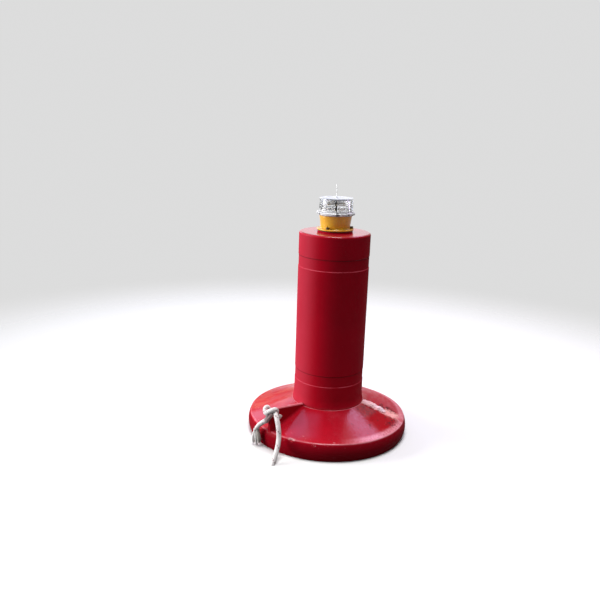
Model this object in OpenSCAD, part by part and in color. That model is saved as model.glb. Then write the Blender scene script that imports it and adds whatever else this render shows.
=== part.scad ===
// Channel marker buoy: a disc float with a conical deck, a tall column with two tape bands and a solar lantern,
// a ballasted tail with a mooring shackle, moulded lugs and a knotted handling rope.
// The origin is on the buoy's axis at the waterline, +Z is up and the reader looks along +Y.

/* [Float] */
// Largest diameter of the float
float_d = 700; // [560:10:900]
// Height of the largest diameter above the water
belt_z = 38; // [25:1:50]
// Radius of the rounded side
side_r = 80; // [60:1:110]
// Rounding between the side and the deck
shoulder_r = 7; // [4:1:24]
// Slope of the conical deck, in degrees
deck_angle = 19.4; // [16:0.2:23]
// Height of the column's seat above the water
seat_z = 140; // [132:1:150]
// Slope of the underside, in degrees
keel_angle = 30; // [24:1:36]
// Width of the flat land round the foot of the column and round the tail
land_w = 2; // [1:0.5:6]
// Depth of the socket for the column
socket_depth = 60; // [30:1:80]
// Depth of the socket for the tail
tail_socket_depth = 45; // [25:1:70]
// Radius of the dent in the shoulder
dent_r = 17; // [8:1:24]
// Depth of the dent in the shoulder
dent_deep = 3; // [1:0.5:5]

/* [Column] */
// Diameter of the column
column_d = 300; // [240:2:340]
// Height of the column's top above the water
column_top = 880; // [700:10:1100]
// How far the foot stands out from the column
foot_flare = 6; // [3:0.5:12]
// Height of the flared foot
foot_h = 40; // [20:1:60]
// Rounding of the top edge
top_round = 9; // [3:0.5:12]
// Height of the lower band's bottom edge above the water
low_band_z = 238; // [200:1:300]
// Height of the upper band's bottom edge above the water
high_band_z = 734; // [560:1:760]
// Height of a tape band
band_h = 51; // [30:1:60]
// Depth of a tape band
band_depth = 1.5; // [1:0.5:5]
// Height of the sloped lips above and below a tape band
band_lip = 3; // [1.5:0.5:8]
// How much thinner the spigot below the foot is, on the radius
spigot_step = 12; // [6:1:24]
// Height of the lantern's boss on top
boss_h = 5; // [2:0.5:10]

/* [Lugs] */
// Thickness of a lug
lug_t = 18; // [12:1:26]
// Distance of a lug's outer edge in from the float's largest radius
lug_inset = 8; // [7:1:30]
// Height of a lug's top edge at its inner end
lug_top_in = 150.5; // [149:0.5:165]
// Height of a lug's top edge at its outer end
lug_top_out = 173; // [164:1:185]
// Rounding of a lug's outer corner
lug_corner = 14; // [6:1:20]
// Diameter of a lug's eye
eye_d = 30; // [26:1:36]
// Distance of the eye from the lug's outer edge and from its top edge
eye_inset = 26; // [24:1:32]
// Depth of a lug's root in the deck
lug_root = 10; // [5:1:16]
// Chamfer along a lug's top edge and down its outer edge
lug_chamfer = 3; // [1:0.5:6]
// Radius of the fillets along a whole lug's foot
lug_fillet = 10; // [3:1:14]
// Length of the broken lug's ridge, from the column outwards
stump_len = 104; // [60:1:140]
// Height of the broken lug's ridge
stump_h = 15; // [6:1:22]

/* [Tail and ballast] */
// Diameter of the tail
tail_d = 250; // [200:2:280]
// Length of the tail below the float
tail_len = 170; // [100:1:300]
// How much thinner the tail's spigot is, on the radius
tail_step = 12; // [6:1:24]
// Height of the tail's top flange
tail_flange_h = 8; // [4:1:14]
// Diameter of a ballast plate
ballast_d = 240; // [200:2:260]
// Thickness of a ballast plate
ballast_t = 12; // [8:1:20]
// Number of ballast plates
ballast_n = 5; // [2:1:8]
// Diameter of the steel base plate
base_d = 232; // [200:2:250]
// Thickness of the steel base plate
base_t = 10; // [6:1:16]
// Diameter of the tie bolts
bolt_d = 16; // [10:1:20]
// Diameter of the circle that the tie bolts are on
bolt_circle_d = 170; // [150:2:180]
// Length of the tie bolts in the tail
bolt_grip = 60; // [30:1:90]

/* [Mooring] */
// Thickness of the mooring eye plate
padeye_t = 18; // [12:1:20]
// Radius of the mooring eye plate round its hole
padeye_r = 24; // [20:1:28]
// Distance from the base plate down to the shackle pin
padeye_drop = 36; // [32:1:50]
// Diameter of the shackle's bar
bar_d = 16; // [12:1:18]
// Diameter of the shackle pin
pin_d = 19; // [16:1:22]
// Width of the shackle's jaw
jaw_w = 27; // [24:1:34]
// Distance from the pin to the centre of the shackle's bend
bow_drop = 45; // [40:1:60]
// Diameter of the shackle's ears
ear_d = 38; // [34:1:44]
// How much thicker the ears are than the bar
ear_step = 2; // [1:0.5:4]

/* [Lantern] */
// Diameter of the lantern's mounting flange
flange_d = 154; // [140:1:170]
// Thickness of the mounting flange
flange_t = 6; // [3:0.5:10]
// Thickness of the rubber pad under the flange
pad_t = 4; // [2:0.5:8]
// Diameter of the lantern body at its foot
body_foot_d = 122; // [100:1:130]
// Diameter of the lantern body at its top
body_top_d = 135; // [124:1:140]
// Height of the lantern body above its flange
body_h = 54; // [40:1:80]
// Thickness of the seal under the lens
seal_t = 3; // [2:0.5:5]
// Diameter of the lens's clamp ring
ring_d = 160; // [150:1:176]
// Height of the lens's clamp ring
ring_h = 11; // [6:1:16]
// Outside diameter of the lens at its foot
lens_foot_d = 141; // [134:1:146]
// Outside diameter of the lens at its top
lens_top_d = 137; // [128:1:140]
// Height of the lens above its clamp ring
lens_h = 57; // [40:1:80]
// Thickness of the lens wall
lens_t = 4; // [2.5:0.5:5]
// Number of prism rings inside the lens
prism_n = 7; // [3:1:10]
// Diameter of the lamp board inside the lens
board_d = 78; // [40:2:100]
// Number of lamps on the board
lamp_n = 8; // [4:1:12]
// Diameter of the screw circle of the mounting flange
screw_circle_d = 137; // [136:1:142]
// Diameter of a mounting screw
screw_d = 8; // [5:1:8]
// Number of mounting screws
screw_n = 3; // [3:1:4]
// Direction of the first mounting screw, in degrees
screw_angle = 2; // [0:1:30]
// Length of the bird spike
spike_len = 53; // [20:1:90]
// Diameter of the bird spike
spike_d = 2.4; // [1.6:0.2:4]

/* [Rope] */
// Diameter of the handling rope
rope_d = 20; // [14:1:22]

/* [Hidden] */
$fn = 96;

// Clearances
fit = 0.2;
running = 0.5;
seat_gap = 0.3;
socket_spare = 3;
eps = 0.01;

// Directions of the lugs, seen from above
lug_front_angle = 226.4;
lug_stump_angle = lug_front_angle + 120;
lug_rear_angle = lug_front_angle - 120;
dent_angle = 246;

// Float outline
belt_r = float_d / 2;
lug_out = belt_r - lug_inset;
column_r = column_d / 2;
foot_r = column_r + foot_flare;
seat_r = foot_r + land_w;
side_c = [belt_r - side_r, belt_z];
deck_dir = [cos(deck_angle), -sin(deck_angle)];
deck_out = [sin(deck_angle), cos(deck_angle)];
keel_start = side_c + side_r * [sin(keel_angle), -cos(keel_angle)];
tail_r = tail_d / 2;
keel_seat_r = tail_r + foot_flare + land_w;
keel_seat_z = keel_start.y - (keel_start.x - keel_seat_r) * tan(keel_angle);
spigot_r = column_r - spigot_step;
tail_spigot_r = tail_r - tail_step;

// The shoulder's rounding touches the deck and the side from inside
shoulder_from = [seat_r, seat_z] - shoulder_r * deck_out - side_c;
shoulder_along = -shoulder_from * deck_dir;
shoulder_t = shoulder_along
    + sqrt(pow(shoulder_along, 2) - shoulder_from * shoulder_from + pow(side_r - shoulder_r, 2));
shoulder_c = side_c + shoulder_from + shoulder_t * deck_dir;
shoulder_angle = atan2(shoulder_c.y - side_c.y, shoulder_c.x - side_c.x);
dent_c = shoulder_c + (shoulder_r + dent_r - dent_deep) * [cos(shoulder_angle), sin(shoulder_angle)];

// Tail, ballast and mooring, from the top down
ballast_top = keel_seat_z - tail_len;
base_top = ballast_top - ballast_n * ballast_t;
base_bottom = base_top - base_t;
pin_z = base_bottom - padeye_drop;
bar_r = bar_d / 2;
pin_r = pin_d / 2;
ear_t = bar_d + ear_step;
ear_x = jaw_w / 2 + ear_t / 2;
bolt_r = bolt_d / 2;

// Lantern, from the bottom up
boss_r = flange_d / 2 - 3;
boss_top = column_top + boss_h;
flange_bottom = boss_top + pad_t;
flange_top = flange_bottom + flange_t;
body_top = flange_top + body_h;
ring_bottom = body_top + seal_t;
ring_top = ring_bottom + ring_h;
lens_top = ring_top + lens_h;
screw_r = screw_d / 2;
screw_circle_r = screw_circle_d / 2;
bore_r = lens_top_d / 2 - lens_t - 3;
crown_bottom = lens_top - lens_t;
panel_t = 3;
deck_t = 3;

// Height of the deck, and of the rounded side beyond it, at a distance from the axis
function side_z(r) = belt_z + sqrt(max(0, pow(side_r, 2) - pow(max(0, r - side_c.x), 2)));
function deck_z(r) = min(seat_z - (r - seat_r) * tan(deck_angle), side_z(r));

// Points on an arc in a plane
function arc(c, r, from, to, steps) =
    [for (i = [0 : steps]) let (a = from + (to - from) * i / steps) c + r * [cos(a), sin(a)]];

// Places a piece that is drawn in the plane of distance and height
module upright(angle, thickness) {
    rotate([0, 0, angle]) translate([0, thickness / 2, 0]) rotate([90, 0, 0]) linear_extrude(thickness) children();
}

// Repeats a piece round the axis
module around(n, first) {
    for (i = [0 : n - 1]) rotate([0, 0, first + i * 360 / n]) children();
}

// Float
module float_hull() {
    color([0.72, 0.06, 0.1]) difference() {
        union() {
            rotate_extrude() polygon(concat(
                [[0, seat_z], [seat_r, seat_z]],
                arc(shoulder_c, shoulder_r, 90 - deck_angle, shoulder_angle, 6),
                arc(side_c, side_r, shoulder_angle, keel_angle - 90, 20),
                [[keel_seat_r, keel_seat_z], [0, keel_seat_z]]));
            for (a = [lug_front_angle, lug_rear_angle]) lug_fillets(a);
        }
        translate([0, 0, seat_z - socket_depth - socket_spare])
            cylinder(h = socket_depth + socket_spare + eps, r = spigot_r + fit);
        translate([0, 0, keel_seat_z - eps])
            cylinder(h = tail_socket_depth + socket_spare + eps, r = tail_spigot_r + fit);
        for (a = [lug_front_angle, lug_stump_angle, lug_rear_angle])
            upright(a, lug_t + 2 * fit) lug_root_outline(fit);
        rotate([0, 0, dent_angle]) translate([dent_c.x, 0, dent_c.y]) sphere(r = dent_r);
    }
}

// The stretch of a lug that is sunk in the deck
module lug_root_outline(gap) {
    r0 = foot_r + running - gap;
    r1 = lug_out + gap;
    polygon([[r0, deck_z(r0) - lug_root - gap], [r1, deck_z(r1) - lug_root - gap],
        [r1, deck_z(r1) + lug_root + lug_fillet], [r0, seat_z + lug_root + lug_fillet]]);
}

// Hollow fillets on both sides of a lug's foot, along the deck's slope, run out before the shoulder
module lug_fillets(angle) {
    half = lug_t / 2 + fit;
    out = half + lug_fillet;
    sink = 1.2;
    start = [seat_r, seat_z];
    end = start + shoulder_t * deck_dir;
    intersection() {
        rotate([0, 0, angle]) translate([start.x, 0, start.y]) rotate([0, deck_angle, 0]) rotate([90, 0, 90])
            linear_extrude(shoulder_t) polygon(concat(
                arc([out, lug_fillet - sink], lug_fillet, 180, 270, 4), [[out, -sink - 4], [-out, -sink - 4]],
                arc([-out, lug_fillet - sink], lug_fillet, 270, 360, 4)));
        upright(angle, 2 * out + 2) polygon([start - 8 * deck_out, start + (lug_fillet + 2) * deck_out,
            end - 1.5 * lug_fillet * deck_dir + lug_fillet * deck_out, end, end - 8 * deck_out]);
    }
}

// Lugs
module lug_outline() {
    r0 = foot_r + running;
    polygon(concat(
        [[r0, deck_z(r0) - lug_root], [r0, lug_top_in]],
        arc([lug_out - lug_corner, lug_top_out - lug_corner], lug_corner, 90, 0, 8),
        [[lug_out, deck_z(lug_out) - lug_root]]));
}

module lug(angle) {
    rise = atan2(lug_top_out - lug_top_in, lug_out - lug_corner - foot_r - running);
    top_len = lug_out;
    color([0.66, 0.05, 0.09]) difference() {
        upright(angle, lug_t) lug_outline();
        rotate([0, 0, angle]) translate([lug_out - eye_inset, 0, lug_top_out - eye_inset]) rotate([90, 0, 0])
            cylinder(h = lug_t + 2, r = eye_d / 2, center = true);
        for (side = [-1, 1])
            rotate([0, 0, angle]) translate([foot_r + running, side * lug_t / 2, lug_top_in]) rotate([0, -rise, 0])
                rotate([45, 0, 0]) cube([top_len, lug_chamfer * sqrt(2), lug_chamfer * sqrt(2)], center = true);
        for (side = [-1, 1])
            rotate([0, 0, angle]) translate([lug_out, side * lug_t / 2, deck_z(lug_out)]) rotate([0, 0, 45])
                cube([lug_chamfer * sqrt(2), lug_chamfer * sqrt(2), 2 * (lug_top_out - lug_corner - deck_z(lug_out))],
                    center = true);
    }
}

module lug_front() { lug(lug_front_angle); }

module lug_rear() { lug(lug_rear_angle); }

// What is left of the third lug: a torn ridge, and its root broken off level with the deck
module lug_stump() {
    r0 = foot_r + running;
    r1 = r0 + stump_len;
    color([0.85, 0.5, 0.5]) upright(lug_stump_angle, lug_t) polygon([
        [r0, deck_z(r0) - lug_root], [r0, deck_z(r0) + stump_h - 3], [r0 + 34, deck_z(r0 + 34) + stump_h - 4],
        [r1 - 30, deck_z(r1 - 30) + stump_h - 2], [r1 - 16, deck_z(r1 - 16) + stump_h],
        [r1 - 2, deck_z(r1) + stump_h], [r1, deck_z(r1) + 1],
        [lug_out - 30, deck_z(lug_out - 30) + 2], [lug_out, deck_z(lug_out) - 1], [lug_out, deck_z(lug_out) - lug_root]]);
}

// Column
function band(z) = [[column_r, z], [column_r - band_depth, z + band_lip],
    [column_r - band_depth, z + band_h - band_lip], [column_r, z + band_h]];

module column() {
    color([0.72, 0.06, 0.1]) {
        rotate_extrude() polygon(concat(
            [[0, seat_z - socket_depth], [spigot_r - 2, seat_z - socket_depth],
                [spigot_r, seat_z - socket_depth + 2], [spigot_r, seat_z],
                [foot_r, seat_z], [foot_r, seat_z + 5], [foot_r - 1, seat_z + 6]],
            [for (i = [1 : 6]) [column_r + (foot_flare - 1) * pow(1 - i / 6, 2), seat_z + 6 + (foot_h - 6) * i / 6]],
            band(low_band_z), band(high_band_z),
            arc([column_r - top_round, column_top - top_round], top_round, 0, 90, 5),
            [[boss_r, column_top], [boss_r, boss_top - 1], [boss_r - 1, boss_top], [0, boss_top]]));
    }
}

// Tail
module tail_tube() {
    color([0.6, 0.05, 0.08]) difference() {
        rotate_extrude() polygon(concat(
            [[0, keel_seat_z + tail_socket_depth], [tail_spigot_r - 2, keel_seat_z + tail_socket_depth],
                [tail_spigot_r, keel_seat_z + tail_socket_depth - 2], [tail_spigot_r, keel_seat_z],
                [tail_r + foot_flare, keel_seat_z], [tail_r + foot_flare, keel_seat_z - tail_flange_h],
                [tail_r, keel_seat_z - tail_flange_h - foot_flare]],
            arc([tail_r - top_round, ballast_top + top_round], top_round, 0, -90, 5),
            [[0, ballast_top]]));
        around(4, 45) translate([bolt_circle_d / 2, 0, ballast_top - eps]) cylinder(h = bolt_grip + eps, r = bolt_r + fit);
    }
}

// Ballast
module ballast_plates() {
    r = ballast_d / 2;
    edge = 1.5;
    color([0.2, 0.2, 0.21]) difference() {
        rotate_extrude() polygon(concat([[0, base_top]],
            [for (i = [0 : ballast_n - 1]) for (p = [[r - edge, 0], [r, edge], [r, ballast_t - edge], [r - edge, ballast_t]])
                [p.x, base_top + i * ballast_t + p.y]],
            [[0, ballast_top]]));
        around(4, 45) translate([bolt_circle_d / 2, 0, base_top - 1])
            cylinder(h = ballast_n * ballast_t + 2, r = bolt_r + fit);
    }
}

// Base plate with the mooring eye
module base_plate() {
    color([0.55, 0.56, 0.57]) difference() {
        union() {
            translate([0, 0, base_bottom]) cylinder(h = base_t, r = base_d / 2);
            translate([-padeye_t / 2, 0, pin_z]) rotate([0, 90, 0]) cylinder(h = padeye_t, r = padeye_r);
            translate([-padeye_t / 2, -padeye_r, pin_z]) cube([padeye_t, 2 * padeye_r, padeye_drop + base_t / 2]);
            for (side = [-1, 1]) translate([0, side * (padeye_r + 8), base_bottom + base_t / 2]) rotate([0, 90, 0])
                linear_extrude(padeye_t / 2, center = true)
                    polygon([[0, -side * 12], [0, side * 16], [base_t / 2, side * 16], [base_t / 2 + 18, -side * 12]]);
        }
        around(4, 45) translate([bolt_circle_d / 2, 0, base_bottom - 1]) cylinder(h = base_t + 2, r = bolt_r + fit);
        translate([-padeye_t, 0, pin_z]) rotate([0, 90, 0]) cylinder(h = 2 * padeye_t, r = pin_r + running);
    }
}

// Tie bolts with washers, put in from below
module tie_bolts() {
    washer_t = 3;
    head_h = 0.65 * bolt_d;
    color([0.65, 0.66, 0.67]) around(4, 45) translate([bolt_circle_d / 2, 0, 0]) {
        translate([0, 0, base_bottom - washer_t]) cylinder(h = washer_t, r = bolt_d);
        translate([0, 0, base_bottom - washer_t - head_h]) cylinder(h = head_h + eps, r = 0.87 * bolt_d, $fn = 6);
        translate([0, 0, base_bottom - washer_t])
            cylinder(h = washer_t + base_t + ballast_n * ballast_t + bolt_grip - 1, r = bolt_r);
    }
}

// Shackle: the bend, two legs and the bored ears
module shackle_bow() {
    color([0.5, 0.51, 0.52]) translate([0, 0, pin_z]) difference() {
        union() {
            translate([0, 0, -bow_drop]) rotate([90, 0, 0]) rotate([0, 0, 180])
                rotate_extrude(angle = 180) translate([ear_x, 0]) circle(r = bar_r, $fn = 32);
            for (side = [-1, 1]) {
                translate([side * ear_x, 0, -bow_drop]) cylinder(h = bow_drop - pin_r - running, r = bar_r, $fn = 32);
                translate([side * ear_x, 0, 0]) rotate([0, 90, 0]) cylinder(h = ear_t, r = ear_d / 2, center = true);
            }
        }
        rotate([0, 90, 0]) cylinder(h = 4 * ear_x, r = pin_r + fit, center = true);
    }
}

// Shackle pin with its head, nut and split pin
module shackle_pin() {
    out = jaw_w / 2 + ear_t + fit;
    head = 9;
    nut = 14;
    color([0.62, 0.63, 0.64]) translate([0, 0, pin_z]) rotate([0, 90, 0]) difference() {
        union() {
            translate([0, 0, -out - head]) cylinder(h = head, r = 0.78 * pin_d);
            translate([0, 0, -out - eps]) cylinder(h = 2 * out + nut + 8, r = pin_r);
            translate([0, 0, out]) cylinder(h = nut, r = 0.9 * pin_d, $fn = 6);
        }
        translate([0, 0, out + nut + 4]) rotate([90, 0, 0]) cylinder(h = 2 * pin_d, r = 2, center = true);
    }
}

// Lantern
module lantern_pad() {
    color([0.05, 0.05, 0.05]) difference() {
        translate([0, 0, boss_top]) cylinder(h = pad_t, r = boss_r - 1);
        around(screw_n, screw_angle) translate([screw_circle_r, 0, boss_top - 1]) cylinder(h = pad_t + 2, r = screw_r + fit);
    }
}

module lantern_base() {
    foot_r2 = body_foot_d / 2;
    top_r = body_top_d / 2;
    color([0.9, 0.6, 0.1]) difference() {
        rotate_extrude() polygon([[0, flange_bottom], [flange_d / 2 - 1, flange_bottom], [flange_d / 2, flange_bottom + 1],
            [flange_d / 2, flange_top - 2], [flange_d / 2 - 2, flange_top], [foot_r2 + 2, flange_top],
            [foot_r2, flange_top + 2], [top_r, body_top - 5], [top_r, body_top], [0, body_top]]);
        around(screw_n, screw_angle) translate([screw_circle_r, 0, flange_bottom - 1])
            cylinder(h = flange_t + 2, r = screw_r + fit);
        around(screw_n, screw_angle) translate([screw_circle_r, 0, flange_top])
            cylinder(h = 1.6 * screw_d, r = screw_d + fit);
    }
}

module lantern_screws() {
    head_h = 0.9 * screw_d;
    color([0.25, 0.25, 0.26]) around(screw_n, screw_angle) translate([screw_circle_r, 0, 0]) difference() {
        union() {
            translate([0, 0, boss_top]) cylinder(h = pad_t + flange_t + eps, r = screw_r);
            translate([0, 0, flange_top]) cylinder(h = 1.2, r = 0.95 * screw_d);
            translate([0, 0, flange_top + 1.2 - eps]) cylinder(h = head_h, r = 0.8 * screw_d);
        }
        translate([0, 0, flange_top + 1.2 + head_h / 2]) cylinder(h = head_h, r = 0.42 * screw_d, $fn = 6);
    }
}

module lens_seal() {
    color([0.08, 0.08, 0.08]) translate([0, 0, body_top]) difference() {
        cylinder(h = seal_t, r = body_top_d / 2 + 4);
        translate([0, 0, -1]) cylinder(h = seal_t + 2, r = bore_r);
    }
}

// Clear lens: clamp ring, wall with prism rings inside, and a flat crown over the solar panel
module lantern_lens() {
    pitch = (lens_h - lens_t - panel_t - 4) / prism_n;
    foot_r3 = lens_foot_d / 2;
    top_r = lens_top_d / 2;
    color([0.85, 0.92, 0.92, 0.4]) rotate_extrude() polygon(concat(
        [[bore_r, ring_bottom], [ring_d / 2 - 1, ring_bottom], [ring_d / 2, ring_bottom + 1], [ring_d / 2, ring_top - 3],
            [ring_d / 2 - 3, ring_top], [foot_r3 + 4, ring_top], [foot_r3 + 1, ring_top + 2], [foot_r3, ring_top + 6]],
        [[top_r, lens_top - 9], [top_r + 1, lens_top - 8]],
        arc([top_r - 2, lens_top - 3], 3, 0, 90, 4),
        [[0, lens_top], [0, crown_bottom], [bore_r, crown_bottom], [bore_r, crown_bottom - panel_t]],
        [for (i = [0 : prism_n - 1]) for (p = [[2.2, 0.25], [0, 0.95]])
            [bore_r + p.x, crown_bottom - panel_t - pitch * (i + p.y)]]));
}

module lamp_deck() {
    color([0.8, 0.82, 0.82]) translate([0, 0, body_top]) {
        cylinder(h = seal_t + deck_t, r = bore_r - seat_gap);
        translate([0, 0, seal_t + deck_t - eps]) cylinder(h = 2, r = bore_r / 3);
    }
}

// Post with the lamp board halfway up, from the deck up to the solar panel
module led_tower() {
    foot_z = ring_bottom + deck_t + 2;
    post_h = crown_bottom - panel_t - foot_z;
    color([0.12, 0.12, 0.12]) {
        translate([0, 0, foot_z]) cylinder(h = post_h, r = 4.5);
        translate([0, 0, foot_z + post_h / 2]) {
            cylinder(h = 2.4, r = board_d / 2);
            around(lamp_n, 180 / lamp_n) translate([board_d / 2 - 5, 0, 2.4 - eps]) cylinder(h = 4, r = 3, $fn = 32);
        }
    }
}

module solar_panel() {
    color([0.06, 0.08, 0.2]) translate([0, 0, crown_bottom - panel_t]) cylinder(h = panel_t, r = bore_r - seat_gap);
}

module bird_spike() {
    color([0.8, 0.8, 0.8]) translate([0, 0, lens_top]) {
        cylinder(h = 4, r = 1.6 * spike_d);
        cylinder(h = spike_len, r = spike_d / 2);
    }
}

// Rope: a ring through the front lug's eye and over its corner, a stretch that drops into the water and a free tail
knot_out = [cos(45), sin(45)];
corner_c = [lug_out - lug_corner, lug_top_out - lug_corner];
eye_c = [lug_out - eye_inset, lug_top_out - eye_inset];
web = norm(corner_c - eye_c) + lug_corner - eye_d / 2;
knot_c = eye_c + (eye_d / 2 + web / 2) * knot_out;
knot_r = norm([web, lug_t]) / 2 + seat_gap + rope_d / 2;

module rope_knot() {
    color([0.85, 0.83, 0.8]) rotate([0, 0, lug_front_angle]) translate([knot_c.x, 0, knot_c.y])
        rotate([0, -45, 0]) rotate_extrude() translate([knot_r, 0]) circle(r = rope_d / 2, $fn = 32);
}

hang_route = [[-213, -256, 163], [-203, -279, 149], [-194, -301, 118], [-190, -315, 84], [-192, -336, 56],
    [-198, -362, 30], [-207, -388, 0], [-216, -408, -34], [-223, -420, -78], [-227, -426, -130], [-228, -428, -190]];
tail_route = [[-242, -257, 172], [-240, -259, 146], [-251, -250, 124], [-264, -240, 110], [-279, -232, 94],
    [-293, -225, 71], [-302, -221, 45], [-305, -220, 20]];

// Closed tube along a route, with one ring of points at each of the route's points
function unit(v) = v / norm(v);
module tube(route, r, sides, across) {
    last = len(route) - 1;
    rings = [for (i = [0 : last])
        let (t = unit(route[min(i + 1, last)] - route[max(i - 1, 0)]), u = unit(cross(t, across)), v = cross(t, u))
        for (k = [0 : sides - 1]) route[i] + r * (cos(k * 360 / sides) * u + sin(k * 360 / sides) * v)];
    walls = [for (i = [0 : last - 1]) for (k = [0 : sides - 1])
        [i * sides + k, i * sides + (k + 1) % sides, (i + 1) * sides + (k + 1) % sides, (i + 1) * sides + k]];
    polyhedron(points = rings, faces = concat(walls,
        [[for (k = [sides - 1 : -1 : 0]) k]], [[for (k = [0 : sides - 1]) last * sides + k]]));
}

module rope_hang() { color([0.85, 0.83, 0.8]) tube(hang_route, rope_d / 2, 10, [1, 0.2, 0]); }

module rope_tail() { color([0.85, 0.83, 0.8]) tube(tail_route, rope_d / 2, 10, [0.2, 1, 0]); }

float_hull();
column();
lug_front();
lug_rear();
lug_stump();
tail_tube();
ballast_plates();
base_plate();
tie_bolts();
shackle_bow();
shackle_pin();
lantern_pad();
lantern_base();
lantern_screws();
lens_seal();
lantern_lens();
lamp_deck();
led_tower();
solar_panel();
bird_spike();
rope_knot();
rope_hang();
rope_tail();
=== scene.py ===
import math
import random
import bpy
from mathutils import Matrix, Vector


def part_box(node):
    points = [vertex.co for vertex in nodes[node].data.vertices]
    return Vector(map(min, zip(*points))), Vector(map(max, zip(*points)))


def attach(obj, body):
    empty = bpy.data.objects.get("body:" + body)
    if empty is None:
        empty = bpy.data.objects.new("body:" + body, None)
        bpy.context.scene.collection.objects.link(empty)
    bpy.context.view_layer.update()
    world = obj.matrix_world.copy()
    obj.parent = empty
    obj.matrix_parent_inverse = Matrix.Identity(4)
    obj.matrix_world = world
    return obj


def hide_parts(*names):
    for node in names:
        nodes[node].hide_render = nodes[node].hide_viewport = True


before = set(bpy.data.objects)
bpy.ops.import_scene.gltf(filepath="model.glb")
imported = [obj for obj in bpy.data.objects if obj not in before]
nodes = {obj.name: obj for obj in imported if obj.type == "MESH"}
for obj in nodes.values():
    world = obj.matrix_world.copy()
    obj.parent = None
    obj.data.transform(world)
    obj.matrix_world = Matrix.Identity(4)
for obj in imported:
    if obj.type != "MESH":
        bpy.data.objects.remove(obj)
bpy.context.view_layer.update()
scene = bpy.context.scene
scene.tool_settings.mesh_select_mode = (False, False, True)
print("frame loaded:", len(nodes), "nodes")

camera = {
    "place": (-0.0132, -2.716, 1.2801),
    "turn": (75.498, -1.813, 3.082),  # degrees about X, Y and Z
    "lens": 39.13,  # in mm, as the sensor is
    "sensor": 36,
}
eye = bpy.data.objects.new("eye", bpy.data.cameras.new("eye"))
scene.collection.objects.link(eye)
eye.location = camera["place"]
eye.rotation_euler = [math.radians(a) for a in camera["turn"]]
eye.data.lens = camera["lens"]
eye.data.sensor_width = camera["sensor"]
scene.camera = eye
print("camera placed")

rope = {
    "diameter": 0.020,
    "lay": 0.060,  # length in which a strand goes once round
    "strands": 8,  # in each direction
    "relief": 0.0011,
    "sides": 48,
    "looseSides": 32,  # of the short ends
    "step": 0.0017,
    "cap": 0.06,  # how far an end is crowned, in diameters
    "taper": 0.008,  # length in which the tail's ends round off
    "endShare": 0.55,  # thickness of a rounded end
    # routes of the hanging end and of the tail, in mm
    "hang": [(-213, -256, 163), (-203, -279, 149), (-194, -301, 118), (-190, -315, 84), (-192, -336, 56),
             (-198, -362, 30), (-207, -388, 0), (-216, -408, -34), (-223, -420, -78), (-227, -426, -130),
             (-228, -428, -190)],
    "tail": [(-242, -257, 172), (-240, -259, 146), (-251, -250, 124), (-264, -240, 110), (-279, -232, 94),
             (-293, -225, 71), (-297, -223, 60)],
}


def curveThrough(points, step):
    # smooth line through the points, with a point every step or so
    p = [Vector(q) for q in points]
    p = [2 * p[0] - p[1]] + p + [2 * p[-1] - p[-2]]
    fine = []
    for i in range(1, len(p) - 2):
        a, b, c, d = p[i - 1:i + 3]
        n = max(2, round((c - b).length / step))
        for k in range(n):
            t = k / n
            fine.append(0.5 * (2 * b + (c - a) * t + (2 * a - 5 * b + 4 * c - d) * t * t
                               + (3 * b - a - 3 * c + d) * t ** 3))
    return fine + [p[-2]]


def framesAlong(line):
    # one pair of crosswise directions at each point, turned as little as can be
    ahead = [(line[min(i + 1, len(line) - 1)] - line[max(i - 1, 0)]).normalized() for i in range(len(line))]
    side = ahead[0].orthogonal().normalized()
    frames = []
    for d in ahead:
        side = (side - side.dot(d) * d).normalized()
        frames.append((side, d.cross(side)))
    return frames


def braidHeight(along, turn):
    # how high the braid stands at a place on the rope, from 0 to 1
    right = rope["strands"] * (turn + along / rope["lay"])
    left = rope["strands"] * (turn - along / rope["lay"])
    if (math.floor(right) + math.floor(left)) % 2:
        right, left = left, right
    return math.sin(math.pi * (right % 1)) ** 0.6 * (0.72 + 0.28 * math.sin(math.pi * (left % 1)))


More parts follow.
